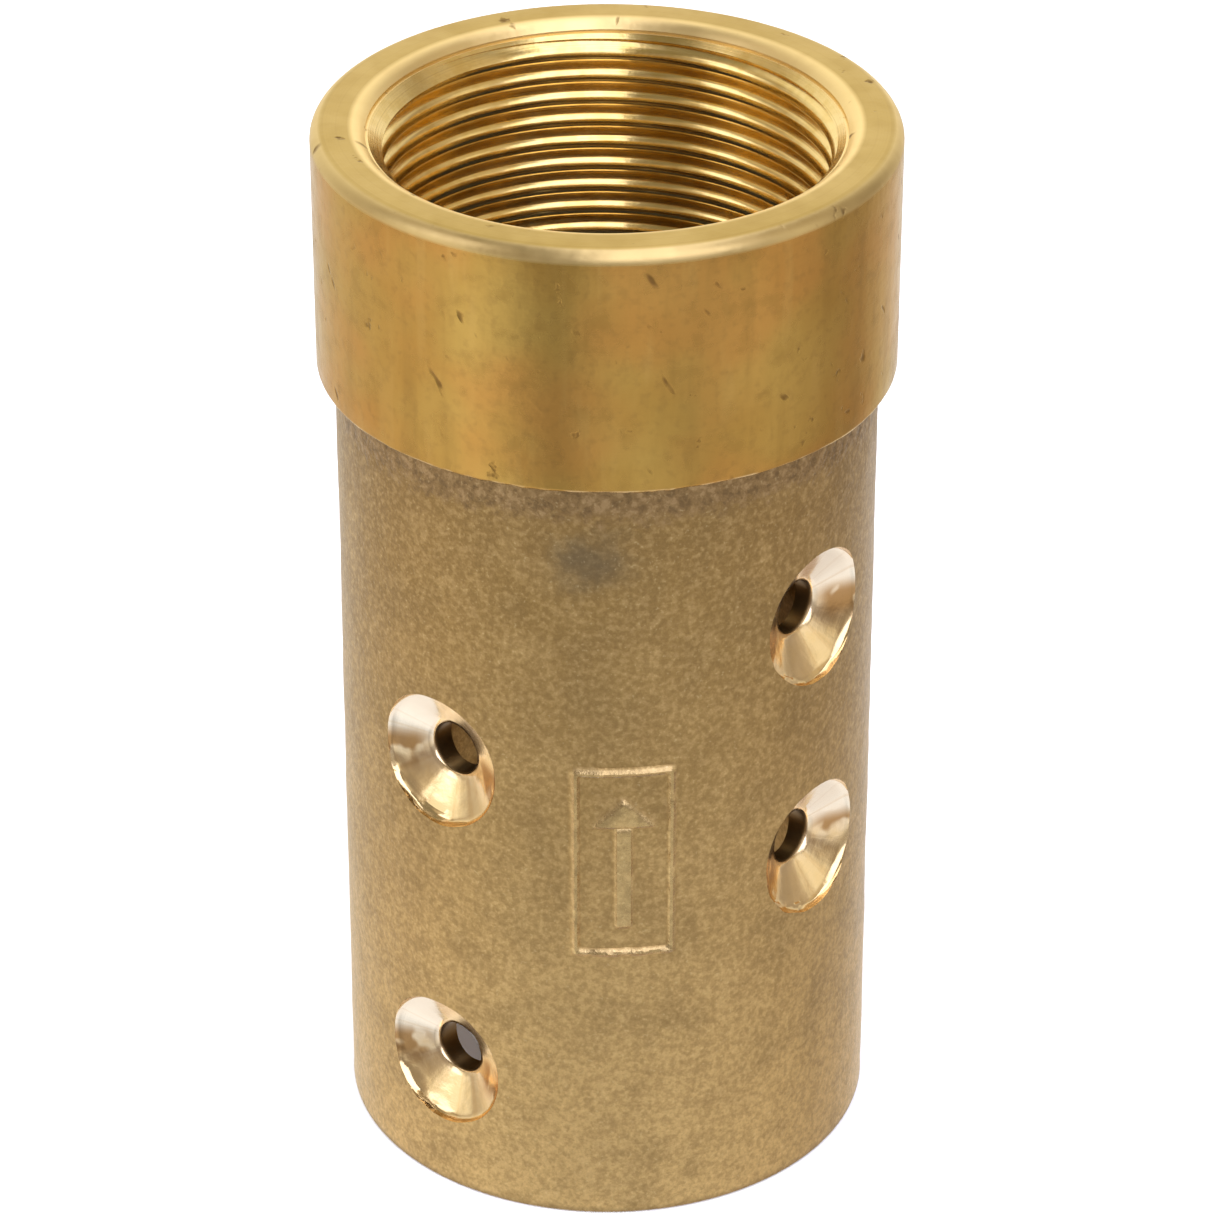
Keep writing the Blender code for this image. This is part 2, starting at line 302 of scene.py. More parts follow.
def mark_relief(across, up):
    """Height of the raised mark over the sleeve, as a share of its full height."""
    half_stroke = FRAME_STROKE / 2
    frame_line = box_distance(across, up, FRAME_WIDTH / 2 - half_stroke, FRAME_HEIGHT / 2 - half_stroke)
    frame_edge = np.abs(frame_line) - half_stroke
    tip = ARROW_HEIGHT / 2
    shaft_top = tip - ARROW_HEAD
    shaft_middle = (shaft_top - tip) / 2
    shaft = box_distance(across, up - shaft_middle, ARROW_SHAFT / 2, (shaft_top + tip) / 2)
    sloping_side = (np.abs(across) + up - tip) / math.sqrt(2)
    head = np.maximum(sloping_side, shaft_top - up)
    edge = np.minimum(frame_edge, np.minimum(shaft, head))
    return smooth_step(-edge, -MARK_EDGE / 2, MARK_EDGE / 2)


def hills_on_rows(places, chosen, size, seed):
    """Smooth noise between about -1 and 1 on the chosen rows, with hills of that size; 0 elsewhere."""
    offset = np.array((17.3, 5.1, 9.7)) * seed
    spots = (places[chosen] / size + offset).reshape(-1, 3).tolist()
    values = np.zeros(places.shape[:2])
    values[chosen] = np.array([noise.noise(spot) for spot in spots]).reshape(-1, places.shape[1])
    return values


def section_normals(section):
    """Unit normals of the closed section, pointing out of the metal."""
    along = np.roll(section, -1, axis=0) - np.roll(section, 1, axis=0)
    along /= np.linalg.norm(along, axis=1)[:, None]
    return np.stack([-along[:, 1], along[:, 0]], axis=1)


def uneven_section(section, finishes, angles):
    """Radius and height of every vertex, with the cast skin's unevenness and the raised mark."""
    rows, columns = len(section), len(angles)
    radius = np.repeat(section[:, :1], columns, axis=1)
    height = np.repeat(section[:, 1:], columns, axis=1)
    flat = np.stack([radius * np.sin(angles), -radius * np.cos(angles), height], axis=-1)
    cast = (finishes == CAST).astype(float)
    rise = np.zeros((rows, columns))
    for seed, (depth, size) in enumerate(CAST_WAVES, start=1):
        rise += depth * hills_on_rows(flat, cast > 0, size, seed)
    clear_of_foot = smooth_step(section[:, 1], 0.2 * MM, 1.5 * MM)
    rise *= (cast * clear_of_foot)[:, None]

    on_sleeve = section[:, 0] > (BORE_RADIUS + SLEEVE_TOP_RADIUS) / 2
    across = (angles - MARK_ANGLE + math.pi) % (2 * math.pi) - math.pi
    across = across[None, :] * radius
    mark = mark_relief(across, height - MARK_HEIGHT) * (cast * on_sleeve)[:, None]
    wear = 0.85 + 0.4 * hills_on_rows(flat, mark.max(axis=1) > 0, *MARK_WEAR)
    mark *= np.clip(wear, 0.5, 1.0)
    rise += MARK_PROUD * mark

    normals = section_normals(section)
    radius += rise * normals[:, :1]
    height += rise * normals[:, 1:]

    collar_bottom = cad_height - COLLAR_LENGTH
    near_edge = 1 - smooth_step(np.abs(section[:, 1] - collar_bottom), 0.1 * MM, 0.5 * MM)
    near_edge *= section[:, 0] > SLEEVE_TOP_RADIUS + FILLET_RADIUS
    ragged = np.abs(hills_on_rows(flat, near_edge > 0, *BURR_FINE))
    ragged += BURR_BROAD_SHARE * hills_on_rows(flat, near_edge > 0, *BURR_BROAD)
    height -= COLLAR_BURR * ragged * near_edge[:, None]
    return radius, height, mark


def grid_object(name, radius, height, angles, finishes, rubbed=None):
    """Closed mesh of quads from rows of section points turned to each column's angle."""
    rows, columns = radius.shape
    points = np.stack([radius * np.sin(angles), -radius * np.cos(angles), height], axis=-1)
    row, column = np.meshgrid(np.arange(rows), np.arange(columns), indexing="ij")
    below = (row + 1) % rows
    beside = (column + 1) % columns
    corners = [row * columns + column, below * columns + column]
    corners += [below * columns + beside, row * columns + beside]
    faces = np.stack(corners, axis=-1).reshape(-1, 4)
    mesh = bpy.data.meshes.new(name)
    mesh.from_pydata(points.reshape(-1, 3), [], faces)
    mesh.polygons.foreach_set("material_index", np.repeat(finishes, columns))
    if rubbed is not None:
        attribute = mesh.attributes.new("rubbed", "FLOAT", "POINT")
        attribute.data.foreach_set("value", rubbed.ravel())
    obj = bpy.data.objects.new(name, mesh)
    bpy.context.scene.collection.objects.link(obj)
    return obj


def evaluated_mesh(obj):
    bpy.context.view_layer.update()
    return bpy.data.meshes.new_from_object(obj.evaluated_get(bpy.context.evaluated_depsgraph_get()))


def close_end(bm, rim, height):
    """Cap an open end with a fan of faces round a point on the axis."""
    middle = bm.verts.new((0, 0, height))
    for edge in rim:
        bm.faces.new((*edge.verts, middle))


def thread_tap():
    """Right-hand screw of the socket's inner shape, from the relief to above the mouth."""
    slope = math.tan(THREAD_FLANK_ANGLE)
    crest_centre = (THREAD_MINOR_RADIUS + THREAD_CREST_ROUND, THREAD_PITCH / 2)
    crest_apex = crest_centre[0] - THREAD_CREST_ROUND / math.sin(THREAD_FLANK_ANGLE)
    root_apex = crest_apex + THREAD_PITCH / 2 / slope
    flank_turn = 180 + 90 - math.degrees(THREAD_FLANK_ANGLE)
    upper_half = [
        *arc(crest_centre, THREAD_CREST_ROUND, 180, flank_turn, CREST_STEPS),
        (root_apex - 2 * THREAD_ROOT_CUT, THREAD_ROOT_CUT * 2 * slope),
        (root_apex - THREAD_ROOT_CUT, THREAD_ROOT_CUT * slope / 2),
    ]
    profile = upper_half + [(radius, -height) for radius, height in reversed(upper_half)]
    mesh = bpy.data.meshes.new("thread_tap")
    edges = [(i, i + 1) for i in range(len(profile) - 1)]
    mesh.from_pydata([(radius, 0, height) for radius, height in profile], edges, [])
    tap = bpy.data.objects.new("thread_tap", mesh)
    bpy.context.scene.collection.objects.link(tap)
    screw = tap.modifiers.new("Turn", "SCREW")
    screw.steps = TAP_FACETS
    screw.render_steps = TAP_FACETS
    screw.screw_offset = THREAD_PITCH
    screw.iterations = THREAD_TURNS
    turned = evaluated_mesh(tap)
    tap.modifiers.clear()
    bm = bmesh.new()
    bm.from_mesh(turned)
    bmesh.ops.remove_doubles(bm, verts=bm.verts, dist=MERGE_DISTANCE)
    middle = THREAD_TURNS * THREAD_PITCH / 2
    open_edges = [edge for edge in bm.edges if edge.is_boundary]
    close_end(bm, [edge for edge in open_edges if edge.verts[0].co.z < middle], 0)
    top = THREAD_TURNS * THREAD_PITCH
    close_end(bm, [edge for edge in open_edges if edge.verts[0].co.z > middle], top)
    bmesh.ops.recalc_face_normals(bm, faces=bm.faces)
    for face in bm.faces:
        face.material_index = THREADED
    bm.to_mesh(turned)
    bm.free()
    tap.data = turned
    rise_to_back = THREAD_PITCH / 4
    turns_below = math.ceil((GROOVE_AT_BACK - THREAD_BOTTOM) / THREAD_PITCH)
    tap.location.z = GROOVE_AT_BACK - rise_to_back - turns_below * THREAD_PITCH
    return tap


def screw_holes():
    """(name, angle, height) of each countersunk hole."""
    holes = []
    for column in range(SCREW_HOLE_COLUMNS):
        angle = FIRST_COLUMN_ANGLE + column * 2 * math.pi / SCREW_HOLE_COLUMNS
        heights = HIGH_COLUMN_HEIGHTS if column % 2 else LOW_COLUMN_HEIGHTS
        holes += [(f"screw_hole_{column}_{row}", angle, height) for row, height in enumerate(heights)]
    return holes


def drill_shape(height):
    """(radius, distance from the holder's axis, chatter, lumps) down the drill, from outside."""
    cone_depth = (DRILL_RADIUS - SCREW_HOLE_RADIUS) / math.tan(DRILL_HALF_ANGLE)
    shoulder = sleeve_radius(height) - DRILL_SHOULDER_DEPTH
    tangent = DRILL_CORNER_ROUND * math.tan(DRILL_HALF_ANGLE / 2)
    centre = (DRILL_RADIUS - DRILL_CORNER_ROUND, shoulder + tangent)
    corner = arc(centre, DRILL_CORNER_ROUND, 0, -math.degrees(DRILL_HALF_ANGLE), CORNER_STEPS)
    rings = [(DRILL_RADIUS, cad_radius + DRILL_RADIUS, 0.5, 0.3)]
    rings += [(radius, distance, 0.8, 1.0) for radius, distance in corner]
    start_radius, start_distance = corner[-1]
    bottom = (SCREW_HOLE_RADIUS + SCREW_HOLE_BREAK, shoulder - cone_depth)
    for step in range(1, CONE_STEPS + 1):
        share = step / CONE_STEPS
        radius = start_radius + (bottom[0] - start_radius) * share
        distance = start_distance + (bottom[1] - start_distance) * share
        rings.append((radius, distance, 1 - 0.7 * share, max(0, 0.7 - 1.4 * share)))
    rings += [
        (SCREW_HOLE_RADIUS + SCREW_HOLE_BREAK / 3, bottom[1] - SCREW_HOLE_BREAK, 0.2, 0),
        (SCREW_HOLE_RADIUS, bottom[1] - 3 * SCREW_HOLE_BREAK, 0, 0),
        (SCREW_HOLE_RADIUS, LIP_RADIUS, 0, 0),
    ]
    return rings


def drill_cutter(name, angle, height, seed):
    """Broad blunt drill with a thin one below it. Its chatter and torn edge are worked into it."""
    out = outward(angle)
    side = Vector((0, 0, 1)).cross(out)
    turns = [2 * math.pi * i / DRILL_FACETS for i in range(DRILL_FACETS)]
    circle = [Vector((math.cos(turn), math.sin(turn), seed * 3.7)) for turn in turns]
    waves = [noise.noise(point * 2.5) + 0.5 * noise.noise(point * 7) for point in circle]
    torn = [max(0, math.cos((turn - TORN_SIDE) * math.pi / 2 / TORN_SPREAD)) for turn in turns]
    torn = [t if abs(turn - TORN_SIDE) < TORN_SPREAD else 0 for t, turn in zip(torn, turns)]
    bm = bmesh.new()
    rings = []
    for radius, distance, chatter, lumps in drill_shape(height):
        ring = []
        for turn, wave, point, tear in zip(turns, waves, circle, torn):
            spot = point * (radius / MM) + Vector((0, 0, distance / MM))
            lump = noise.noise(spot * 0.6) + 0.3 * noise.noise(spot * 1.5)
            change = DRILL_CHATTER * chatter * wave + DRILL_LUMPS * lumps * tear * lump
            reach = radius + change
            across = side * (reach * math.cos(turn)) + Vector((0, 0, reach * math.sin(turn)))
            ring.append(bm.verts.new(out * (distance - 0.7 * change) + across + Vector((0, 0, height))))
        rings.append(ring)
    for ring, next_ring in zip(rings, rings[1:]):
        for i in range(DRILL_FACETS):
            j = (i + 1) % DRILL_FACETS
            bm.faces.new((ring[i], ring[j], next_ring[j], next_ring[i]))
    bm.faces.new(rings[0])
    bm.faces.new(rings[-1])
    bmesh.ops.recalc_face_normals(bm, faces=bm.faces)
    for face in bm.faces:
        face.material_index = DRILLED
    mesh = bpy.data.meshes.new(name)
    bm.to_mesh(mesh)
    bm.free()
    cutter = bpy.data.objects.new(name, mesh)
    bpy.context.scene.collection.objects.link(cutter)
    return cutter


def cut(body, tools):
    """Subtract the tools from the body and keep the result as a plain mesh."""
    for tool in tools:
        boolean = body.modifiers.new(tool.name, "BOOLEAN")
        boolean.operation = "DIFFERENCE"
        boolean.solver = "MANIFOLD"
        boolean.object = tool
    mesh = evaluated_mesh(body)
    body.modifiers.clear()
    body.data = mesh
    for tool in tools:
        bpy.data.objects.remove(tool)


def keep_drill_places(mesh):
    """Store each drilled vertex's place relative to its drill: across, up and along its axis."""
    places = np.zeros((len(mesh.vertices), 3))
    frames = []
    for _, angle, height in screw_holes():
        out = outward(angle)
        frames.append((Vector((0, 0, 1)).cross(out), out, height))
    drilled = {v for face in mesh.polygons if face.material_index == DRILLED for v in face.vertices}
    for index in drilled:
        point = mesh.vertices[index].co
        options = [
            (point.dot(side), point.z - height, point.dot(out))
            for side, out, height in frames
            if point.dot(out) > 0
        ]
        places[index] = min(options, key=lambda place: math.hypot(place[0], place[1]))
    attribute = mesh.attributes.new("drill_place", "FLOAT_VECTOR", "POINT")
    attribute.data.foreach_set("vector", places.ravel())


def shade(mesh):
    mesh.shade_smooth()
    mesh.set_sharp_from_angle(angle=SHARP_ANGLE)


def make_holder(materials):
    stretches = outside_section() + inside_section()
    section = np.array([point for _, points in stretches for point in points])
    finishes = np.array([finish for finish, points in stretches for _ in points])
    angles = column_angles()
    radius, height, mark = uneven_section(section, finishes, angles)
    holder = grid_object("holder_casting", radius, height, angles, finishes, rubbed=mark)
    for material in materials:
        holder.data.materials.append(material)
    tools = [drill_cutter(*hole, seed) for seed, hole in enumerate(screw_holes(), start=1)]
    tools.append(thread_tap())
    for tool in tools:
        for material in materials:
            tool.data.materials.append(material)
    cut(holder, tools)
    keep_drill_places(holder.data)
    shade(holder.data)
    return holder


def make_washer(material):
    """Moulded rubber ring with rounded edges and slightly dished faces."""
    low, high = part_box("nozzle_washer")
    outer = high.x
    inner = outer - WASHER_WIDTH
    middle = (low.z + high.z) / 2
    edge_height = high.z - WASHER_EDGE
    flat_width = WASHER_WIDTH - 2 * WASHER_EDGE
    shares = [i / WASHER_DISH_STEPS for i in range(1, WASHER_DISH_STEPS)]
    dish = [
        (outer - WASHER_EDGE - flat_width * share, high.z - WASHER_DISH * math.sin(math.pi * share))
        for share in shares
    ]
    upper = [
        (outer, middle + WASHER_WALL / 2),
        *arc((outer - WASHER_EDGE, edge_height), WASHER_EDGE, 0, 90, WASHER_EDGE_STEPS),
        *dish,
        *arc((inner + WASHER_EDGE, edge_height), WASHER_EDGE, 90, 180, WASHER_EDGE_STEPS),
    ]
    lower = [(radius, 2 * middle - height) for radius, height in reversed(upper)]
    section = np.array(upper + lower)[::-1]
    angles = np.arange(WASHER_FACETS) * 2 * math.pi / WASHER_FACETS
    radius = np.repeat(section[:, :1], WASHER_FACETS, axis=1)
    height = np.repeat(section[:, 1:], WASHER_FACETS, axis=1)
    washer = grid_object("nozzle_washer_rubber", radius, height, angles, np.zeros(len(section), int))
    washer.data.materials.append(material)
    shade(washer.data)
    return washer


# ---------------------------------------------------------------- materials

# Each material lays soft layers over a base colour. Sizes and heights in them are in millimetres.
# A noise runs from about 0.3 to 0.7, and the two numbers after a mask are where its layer fades in.

# Colours are linear red, green and blue. The edge tints have alpha too.

# Cast skin, shot blasted
CAST_EDGE_TINT = (1.0, 0.96, 0.84, 1.0)
CAST_FOOT = (0.715, 0.502, 0.214)
CAST_HEAD = (0.355, 0.228, 0.078)
# Painted shade under the collar's overhang
CAST_SHADE_UNDER_COLLAR = (0.27, 0.165, 0.06)
CAST_PATCH = (0.33, 0.213, 0.083)
CAST_STAIN = (0.27, 0.180, 0.068)
CAST_CLEAN = (0.60, 0.42, 0.18)
CAST_DULL_GRAIN = (0.25, 0.162, 0.065)
CAST_BRIGHT_GRAIN = (0.74, 0.54, 0.26)
CAST_PIT = (0.22, 0.14, 0.06)
# Painted glints on the blasted skin
CAST_GLINT = (0.80, 0.64, 0.36)
SMEAR_GREY = (0.13, 0.105, 0.07)
# Rough crust under the collar, its dark brown partly painted shade
CRUST_AND_SHADE_BROWN = (0.275, 0.178, 0.084)
CRUST_FLECK = (0.56, 0.39, 0.20)
CRUST_SCAB = (0.12, 0.075, 0.036)
# Painted contact shadow along the foot
FOOT_CONTACT_SHADE = (0.14, 0.085, 0.035)
RUBBED_MARK = (0.74, 0.57, 0.30)

# Turned collar
TURNED_EDGE_TINT = (1.0, 0.94, 0.80, 1.0)
TURNED_LIGHT = (0.47, 0.298, 0.076)
TURNED_DARK = (0.43, 0.253, 0.060)
HEAT_TINT = (0.52, 0.235, 0.060)
TURNED_PATCH = (0.32, 0.185, 0.045)
TURNED_MOTTLE = (0.27, 0.155, 0.045)
# Painted reflections in streaks up the collar
REFLECTION_STREAK_DARK = (0.30, 0.175, 0.045)
REFLECTION_STREAK_LIGHT = (0.56, 0.36, 0.11)
# Painted highlight on the collar's rounded top edge
TOP_EDGE_HIGHLIGHT = (0.60, 0.435, 0.175)
FACE_LIGHT = (0.485, 0.335, 0.108)
FACE_DARK = (0.435, 0.293, 0.082)
FACE_RING = (0.36, 0.235, 0.068)
CHAMFER_BRIGHT = (0.80, 0.59, 0.25)
WOUND_BROWN = (0.17, 0.09, 0.026)
# Painted highlight on the burred lower edge of the collar
BURR_HIGHLIGHT = (0.78, 0.58, 0.31)

# Tapped thread
THREAD_LIGHT = (0.84, 0.62, 0.24)
THREAD_DARK = (0.78, 0.55, 0.18)
THREAD_LINE = (0.52, 0.32, 0.09)

# Drilled countersinks
DRILLED_LIGHT = (0.97, 0.80, 0.58)
DRILLED_DARK = (0.94, 0.72, 0.46)
# Painted reflections: pale high in the cone, golden low in it
DRILLED_HIGH_REFLECTION = (1.0, 0.93, 0.80)
DRILLED_LOW_REFLECTION = (0.86, 0.62, 0.27)
DRILLED_STREAK = (0.70, 0.43, 0.16)
# Painted shade at the sides of each cone
DRILLED_SIDE_SHADE = (0.42, 0.225, 0.075)
# Painted shade in the thin screw holes
HOLE_SHADE = (0.17, 0.10, 0.03)

# Washer rubber
RUBBER_BLACK = (0.018, 0.018, 0.019)
RUBBER_BLOOM = (0.045, 0.044, 0.043)
RUBBER_GRIT = (0.16, 0.15, 0.13)


class Nodes:
    """Adds the nodes of one tree. An input is a plain value or the socket that feeds it."""

    def __init__(self, tree):
        self.tree = tree

    def add(self, kind, inputs, **settings):
        node = self.tree.nodes.new(kind)
        for name, value in settings.items():
            setattr(node, name, value)
        for key, value in inputs.items():
            if isinstance(value, bpy.types.NodeSocket):
                self.tree.links.new(value, node.inputs[key])
            else:
                node.inputs[key].default_value = value
        return node

    def math(self, operation, a, b=0.0):
        return self.add("ShaderNodeMath", {0: a, 1: b}, operation=operation).outputs[0]

    def length(self, a, b):
        """Length of the plane vector (a, b)."""
        return self.math("SQRT", self.math("ADD", self.math("POWER", a, 2.0), self.math("POWER", b, 2.0)))

    def azimuth(self, x, y):
        """Angle round the axis: 0 at the front, -Y, and growing towards +X."""
        return self.math("ARCTAN2", x, self.math("MULTIPLY", y, -1.0))

    def scaled(self, vector, factor):
        inputs = {0: vector, "Scale": factor}
        return self.add("ShaderNodeVectorMath", inputs, operation="SCALE").outputs[0]

    def split(self, vector):
        return self.add("ShaderNodeSeparateXYZ", {0: vector}).outputs

    def join(self, x, y, z):
        return self.add("ShaderNodeCombineXYZ", {0: x, 1: y, 2: z}).outputs[0]

    def noise(self, vector, size, detail=2.0, roughness=0.5):
        """Noise with features about size millimetres apart, where vector is in millimetres."""
        inputs = {"Vector": vector, "Scale": 1 / size, "Detail": detail, "Roughness": roughness}
        return self.add("ShaderNodeTexNoise", inputs).outputs[0]

    def fade(self, value, low, high, to_low=0.0, to_high=1.0):
        """Map low..high softly to to_low..to_high, and hold the ends."""
        inputs = {0: value, 1: low, 2: high, 3: to_low, 4: to_high}
        return self.add("ShaderNodeMapRange", inputs, interpolation_type="SMOOTHSTEP").outputs[0]

    def window(self, value, low, high, soft_low, soft_high):
        """1 between low and high, with its own softness at each end."""
        rise = self.fade(value, low - soft_low, low + soft_low)
        fall = self.fade(value, high - soft_high, high + soft_high, 1.0, 0.0)
        return self.math("MULTIPLY", rise, fall)

    def mix(self, share, a, b, blend="MIX"):
        a, b = ((*c, 1.0) if isinstance(c, tuple) else c for c in (a, b))
        node = self.add("ShaderNodeMix", {0: share, 6: a, 7: b}, data_type="RGBA", blend_type=blend)
        return node.outputs[2]

    def tint(self, colour, mask, low, high, share, other):
        """Mix another colour in, from none of it at mask = low to that share at mask = high."""
        return self.mix(self.fade(mask, low, high, 0.0, share), colour, other)

    def bump(self, height, depth, normal=None):
        inputs = {"Height": height, "Distance": depth, "Strength": 1.0}
        if normal is not None:
            inputs["Normal"] = normal
        return self.add("ShaderNodeBump", inputs).outputs[0]


def new_material(name, **values):
    """A material with its nodes, shader and its own place in millimetres."""
    material = bpy.data.materials.new(name)
    material.use_nodes = True
    shader = material.node_tree.nodes["Principled BSDF"]
    for key, value in values.items():
        shader.inputs[key.replace("_", " ")].default_value = value
    nodes = Nodes(material.node_tree)
    place = nodes.scaled(nodes.add("ShaderNodeTexCoord", {}).outputs["Object"], 1 / MM)
    return material, nodes, shader, place


def connect(nodes, shader, colour, roughness, normal):
    nodes.tree.links.new(colour, shader.inputs["Base Color"])
    nodes.tree.links.new(roughness, shader.inputs["Roughness"])
    nodes.tree.links.new(normal, shader.inputs["Normal"])


def groove(nodes, shader, amount):
    """Fine tool grooves round the axis: highlights stretch across them."""
    tangent = nodes.add("ShaderNodeTangent", {}, direction_type="RADIAL", axis="Z").outputs[0]
    nodes.tree.links.new(tangent, shader.inputs["Tangent"])
    shader.inputs["Anisotropic"].default_value = amount
    shader.inputs["Anisotropic Rotation"].default_value = 0.25


def cast_brass():
    """Sand-cast skin, shot blasted: pale, grainy, darker upwards, rough under the collar; painted glints
    and shade.
    """
    values = {"Specular_Tint": CAST_EDGE_TINT, "Sheen_Weight": 0.2, "Sheen_Roughness": 0.35}
    material, nodes, shader, place = new_material("cast_brass", Metallic=1.0, **values)
    x, y, height = nodes.split(place)
    broad = nodes.noise(place, 11.0)
    patch = nodes.noise(place, 3.2, 4.0, 0.6)
    stain = nodes.noise(place, 6.5, 3.0, 0.6)
    blotch = nodes.noise(place, 0.62, 2.0, 0.55)
    grain = nodes.noise(place, 0.30, 3.0, 0.7)
    glint_specks = nodes.noise(place, 0.3, 1.0)

    climb = nodes.fade(nodes.math("ADD", height, nodes.math("MULTIPLY", broad, 22.0)), -6.0, 88.0)
    colour = nodes.mix(climb, CAST_FOOT, CAST_HEAD)
    # Painted shade: the sleeve darkens towards the collar's overhang
    colour = nodes.tint(colour, height, 65.0, 75.0, 0.35, CAST_SHADE_UNDER_COLLAR)
    colour = nodes.tint(colour, patch, 0.38, 0.70, 0.27, CAST_PATCH)
    colour = nodes.tint(colour, stain, 0.48, 0.70, 0.26, CAST_STAIN)
    colour = nodes.tint(colour, stain, 0.46, 0.32, 0.25, CAST_CLEAN)
    colour = nodes.tint(colour, blotch, 0.62, 0.30, 0.32, CAST_DULL_GRAIN)
    colour = nodes.tint(colour, blotch, 0.42, 0.72, 0.28, CAST_BRIGHT_GRAIN)
    beside = nodes.math("SUBTRACT", x, SMEAR_PLACE[0])
    above = nodes.math("MULTIPLY", nodes.math("SUBTRACT", height, SMEAR_PLACE[1]), 1.5)
    distance = nodes.math("ADD", nodes.length(beside, above), nodes.math("MULTIPLY", patch, 9.0))
    smear = nodes.math("MULTIPLY", nodes.fade(distance, 4.5, 10.5, 0.62, 0.0), nodes.fade(y, 0.0, -8.0))
    colour = nodes.mix(smear, colour, SMEAR_GREY)
    # Rough crust in a ragged band under the collar; its dark brown is partly painted shade under the
    # overhang
    ragged = nodes.math("MULTIPLY", nodes.math("SUBTRACT", nodes.noise(place, 1.3, 3.0, 0.65), 0.5), 4.5)
    rim = nodes.fade(nodes.math("ADD", height, ragged), 72.6, 74.8)
    colour = nodes.mix(nodes.math("MULTIPLY", rim, 0.72), colour, CRUST_AND_SHADE_BROWN)
    colour = nodes.mix(nodes.fade(grain, 0.3, 0.62, 0.18, 0.0), colour, CAST_PIT)
    # Painted glints: small bright dots where facets of the blasted skin would catch the light
    colour = nodes.tint(colour, glint_specks, 0.62, 0.82, 0.27, CAST_GLINT)
    # Painted contact shadow: a thin dark line along the foot, where it stands on the table
    contact_shade = nodes.fade(nodes.math("ADD", height, nodes.math("MULTIPLY", patch, 0.8)), 0.4, 1.2, 0.55, 0.0)
    colour = nodes.mix(contact_shade, colour, FOOT_CONTACT_SHADE)
    crust = nodes.noise(place, 0.8, 3.0, 0.6)
    flecks = nodes.math("MULTIPLY", nodes.fade(crust, 0.50, 0.64, 0.0, 0.42), rim)
    colour = nodes.mix(flecks, colour, CRUST_FLECK)
    scabs = nodes.math("MULTIPLY", nodes.fade(crust, 0.48, 0.34, 0.0, 0.45), rim)
    colour = nodes.mix(scabs, colour, CRUST_SCAB)
    rubbed = nodes.add("ShaderNodeAttribute", {}, attribute_name="rubbed").outputs["Fac"]
    polish = nodes.fade(rubbed, 0.1, 0.5)
    colour = nodes.mix(nodes.math("MULTIPLY", polish, 0.2), colour, RUBBED_MARK)
    matt = nodes.fade(grain, 0.3, 0.7, 0.62, 0.46)
    roughness = nodes.math("SUBTRACT", matt, nodes.math("MULTIPLY", polish, 0.26))
    fine = nodes.bump(grain, 0.045 * MM)
    rough_rim = nodes.bump(nodes.math("MULTIPLY", crust, rim), 0.12 * MM, fine)
    normal = nodes.bump(patch, 0.10 * MM, rough_rim)
    connect(nodes, shader, colour, roughness, normal)
    return material


